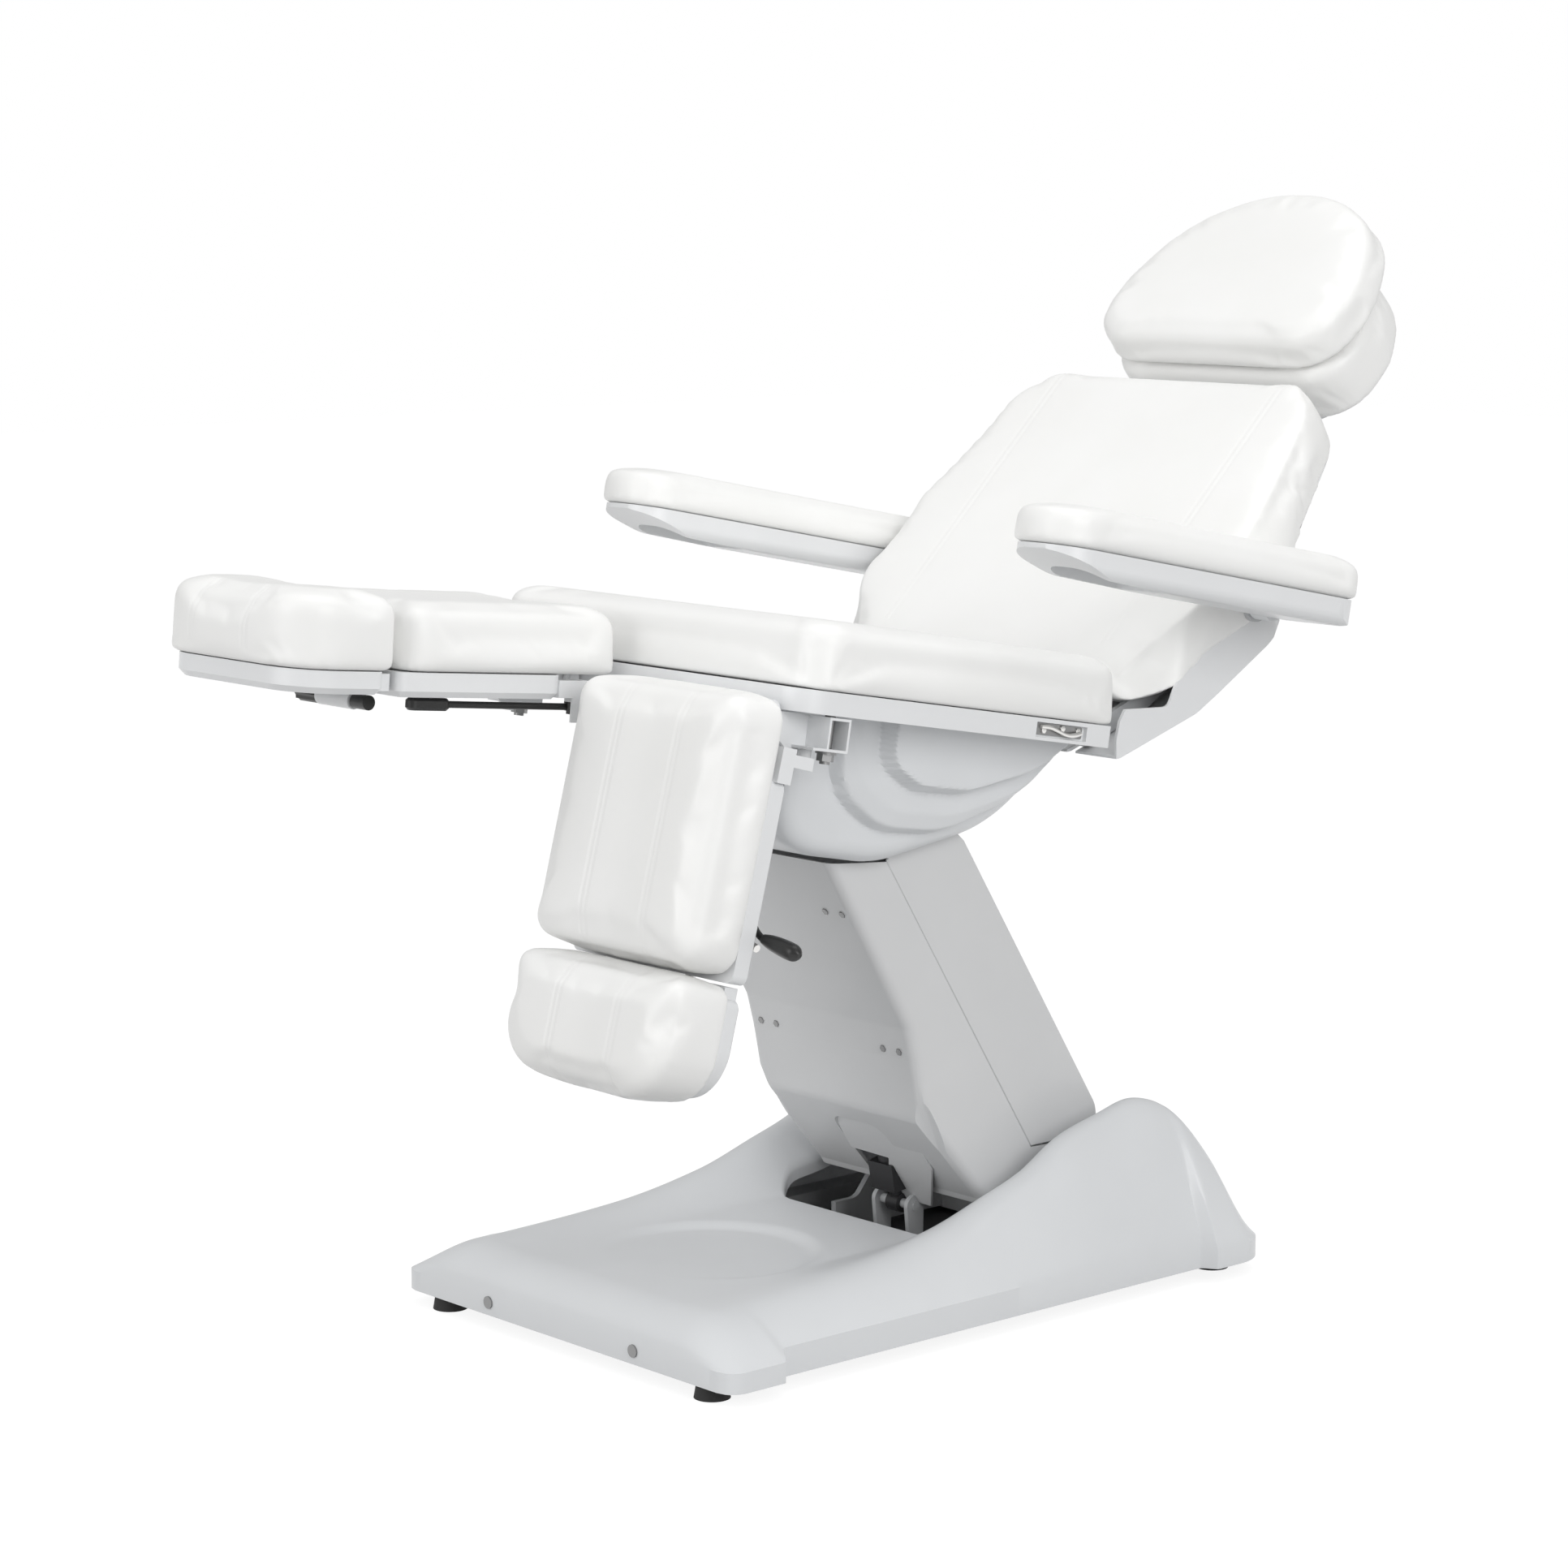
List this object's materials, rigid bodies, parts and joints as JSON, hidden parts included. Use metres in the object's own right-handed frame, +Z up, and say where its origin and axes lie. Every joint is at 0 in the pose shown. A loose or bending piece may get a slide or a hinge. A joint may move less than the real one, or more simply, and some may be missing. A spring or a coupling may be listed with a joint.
{
  "type": "electric pedicure spa chair",
  "caption": "Electric pedicure chair: moulded base, swinging lift column, tilting seat, reclining back, head rest, folding arm rests and separate raisable leg rests.",
  "frame": {"origin": "on the floor under the middle of the whole chair's outline", "axes": "+Z up, the sitter faces -Y, +X to the sitter's left"},
  "size_m": [0.852, 1.6815, 1.3315],
  "materials": {
    "moulded_base": "smooth light grey moulding",
    "pale_shell": "smooth off-white moulding",
    "upholstery": "white vinyl upholstery",
    "frame_paint": "grey powder coat",
    "casing_paint": "light grey casing",
    "steel": "bright steel",
    "motor_black": "black motor housing",
    "handle_black": "black handle",
    "foot_rubber": "black rubber"
  },
  "bodies": {
    "base": {"base_cover": "moulded_base", "base_side_rails": "frame_paint", "base_cross_beams": "frame_paint", "pivot_uprights": "frame_paint", "rubber_feet": "foot_rubber", "cover_screw_caps": "moulded_base", "power_inlet": "motor_black", "control_box": "motor_black", "lower_axles": "steel"},
    "lift_arm": {"lift_arm": "frame_paint", "column_front_casing": "casing_paint", "column_rear_casing": "casing_paint", "casing_screws": "steel"},
    "tie": {"tie_bar": "frame_paint"},
    "carrier": {"carrier_head": "frame_paint", "carrier_axles": "steel"},
    "lift_motor": {"lift_motor_tube": "motor_black"},
    "lift_rod": {"lift_motor_rod": "steel"},
    "seat": {"seat_tray": "pale_shell", "seat_pad": "upholstery", "seat_cowl": "moulded_base", "latch_plates": "steel", "seat_pivot_bolts": "steel"},
    "tilt_motor": {"tilt_motor_tube": "motor_black"},
    "tilt_rod": {"tilt_motor_rod": "steel"},
    "backrest": {"back_shell": "pale_shell", "back_frame": "frame_paint", "back_pad": "upholstery", "arm_brackets": "frame_paint", "arm_pivot_bolts": "steel", "back_motor_tube": "motor_black", "post_guides": "frame_paint"},
    "back_rod": {"back_motor_rod": "steel"},
    "head_carrier": {"head_posts": "steel"},
    "headrest": {"head_shell": "pale_shell", "head_bolster": "upholstery", "head_pillow": "upholstery"},
    "left_arm": {"left_arm_shell": "pale_shell", "left_arm_pad": "upholstery"},
    "left_bracket": {"left_swivel_bracket": "pale_shell"},
    "left_leg": {"left_leg_shell": "pale_shell", "left_calf_pad": "upholstery"},
    "left_lever": {"left_leg_lever": "handle_black"},
    "left_foot": {"left_foot_rods": "steel", "left_foot_shell": "pale_shell", "left_foot_pad": "upholstery"},
    "left_knob": {"left_foot_knob": "handle_black"},
    "right_arm": {"right_arm_shell": "pale_shell", "right_arm_pad": "upholstery"},
    "right_bracket": {"right_swivel_bracket": "pale_shell"},
    "right_leg": {"right_leg_shell": "pale_shell", "right_calf_pad": "upholstery"},
    "right_lever": {"right_leg_lever": "handle_black"},
    "right_foot": {"right_foot_rods": "steel", "right_foot_shell": "pale_shell", "right_foot_pad": "upholstery"},
    "right_knob": {"right_foot_knob": "handle_black"}
  },
  "joints": [
    {"name": "lift", "type": "hinge", "parent": "base", "child": "lift_arm", "pos_m": [0, 0.186, 0.13], "axis": [-1, 0, 0], "range_deg": [-26, 6]},
    {"name": "tie_swing", "type": "hinge", "parent": "base", "child": "tie", "pos_m": [0, 0.2426, 0.164], "axis": [-1, 0, 0], "range_deg": [-30, 8]},
    {"name": "carrier_level", "type": "hinge", "parent": "lift_arm", "child": "carrier", "pos_m": [0, -0.10209, 0.61021], "axis": [-1, 0, 0], "range_deg": [-8, 30]},
    {"name": "lift_motor_swing", "type": "hinge", "parent": "base", "child": "lift_motor", "pos_m": [0, 0.07, 0.09], "axis": [-1, 0, 0], "range_deg": [-30, 20]},
    {"name": "lift_motor_stroke", "type": "slide", "parent": "lift_motor", "child": "lift_rod", "axis": [0, -0.1755, 0.9845], "range_m": [-0.12, 0.05]},
    {"name": "seat_tilt", "type": "hinge", "parent": "carrier", "child": "seat", "pos_m": [0, -0.10209, 0.69322], "axis": [-1, 0, 0], "range_deg": [-10, 4]},
    {"name": "tilt_motor_swing", "type": "hinge", "parent": "seat", "child": "tilt_motor", "pos_m": [0, -0.24135, 0.73162], "axis": [-1, 0, 0], "range_deg": [-20, 20]},
    {"name": "tilt_motor_stroke", "type": "slide", "parent": "tilt_motor", "child": "tilt_rod", "axis": [0, 0.6249, -0.7807], "range_m": [-0.04, 0.04]},
    {"name": "back_recline", "type": "hinge", "parent": "seat", "child": "backrest", "pos_m": [0, 0.158, 0.686], "axis": [1, 0, 0], "range_deg": [-46, 18]},
    {"name": "back_motor_stroke", "type": "slide", "parent": "backrest", "child": "back_rod", "axis": [0, -0.7908, -0.6121], "range_m": [-0.06, 0.06]},
    {"name": "head_slide", "type": "slide", "parent": "backrest", "child": "head_carrier", "axis": [0, 0.7254, 0.6884], "range_m": [0, 0.06]},
    {"name": "head_tilt", "type": "hinge", "parent": "head_carrier", "child": "headrest", "pos_m": [0, 0.70069, 1.02949], "axis": [1, 0, 0], "range_deg": [-25, 12]},
    {"name": "left_arm_fold", "type": "hinge", "parent": "backrest", "child": "left_arm", "pos_m": [0.3, 0.376, 0.8345], "axis": [-1, 0, 0], "range_deg": [0, 100]},
    {"name": "left_leg_swivel", "type": "hinge", "parent": "seat", "child": "left_bracket", "pos_m": [0.274, -0.29302, 0.76104], "axis": [0, 0.1736, 0.9848], "range_deg": [0, 25]},
    {"name": "left_leg_raise", "type": "hinge", "parent": "left_bracket", "child": "left_leg", "pos_m": [0, -0.366, 0.77], "axis": [-1, 0, 0], "range_deg": [-5, 83]},
    {"name": "left_lever_swing", "type": "hinge", "parent": "left_leg", "child": "left_lever", "pos_m": [0.27, -0.35286, 0.71472], "axis": [0, -0.9659, 0.2588], "range_deg": [-20.8, 0]},
    {"name": "left_foot_slide", "type": "slide", "parent": "left_leg", "child": "left_foot", "axis": [0, -0.2588, -0.9659], "range_m": [0, 0.06]},
    {"name": "left_knob_turn", "type": "hinge", "parent": "left_leg", "child": "left_knob", "pos_m": [0.149, -0.4106, 0.48379], "axis": [1, 0, 0], "range_deg": [-180, 180]},
    {"name": "right_arm_fold", "type": "hinge", "parent": "backrest", "child": "right_arm", "pos_m": [-0.3, 0.376, 0.8345], "axis": [-1, 0, 0], "range_deg": [0, 100]},
    {"name": "right_leg_swivel", "type": "hinge", "parent": "seat", "child": "right_bracket", "pos_m": [-0.274, -0.29302, 0.76104], "axis": [0, -0.1736, -0.9848], "range_deg": [0, 25]},
    {"name": "right_leg_raise", "type": "hinge", "parent": "right_bracket", "child": "right_leg", "pos_m": [0, -0.366, 0.77], "axis": [-1, 0, 0], "range_deg": [-80, 2.5]},
    {"name": "right_lever_swing", "type": "hinge", "parent": "right_leg", "child": "right_lever", "pos_m": [-0.028, -0.41836, 0.74792], "axis": [0, 0.0958, 0.9954], "range_deg": [0, 20.8]},
    {"name": "right_foot_slide", "type": "slide", "parent": "right_leg", "child": "right_foot", "axis": [0, -0.9954, 0.0958], "range_m": [0, 0.06]},
    {"name": "right_knob_turn", "type": "hinge", "parent": "right_leg", "child": "right_knob", "pos_m": [-0.149, -0.65565, 0.76675], "axis": [1, 0, 0], "range_deg": [-180, 180]}
  ],
  "couplings": [
    {"joint": "tie_swing", "follows": "lift", "ratio": 1},
    {"joint": "carrier_level", "follows": "lift", "ratio": -1},
    {"joint": "lift_motor_swing", "follows": "lift", "ratio": 1.02},
    {"joint": "lift_motor_stroke", "follows": "lift", "m_per_rad": 0.12076},
    {"joint": "tilt_motor_swing", "follows": "seat_tilt", "ratio": -0.26452},
    {"joint": "tilt_motor_stroke", "follows": "seat_tilt", "m_per_rad": 0.086295},
    {"joint": "back_motor_stroke", "follows": "back_recline", "m_per_rad": 0.04587}
  ]
}
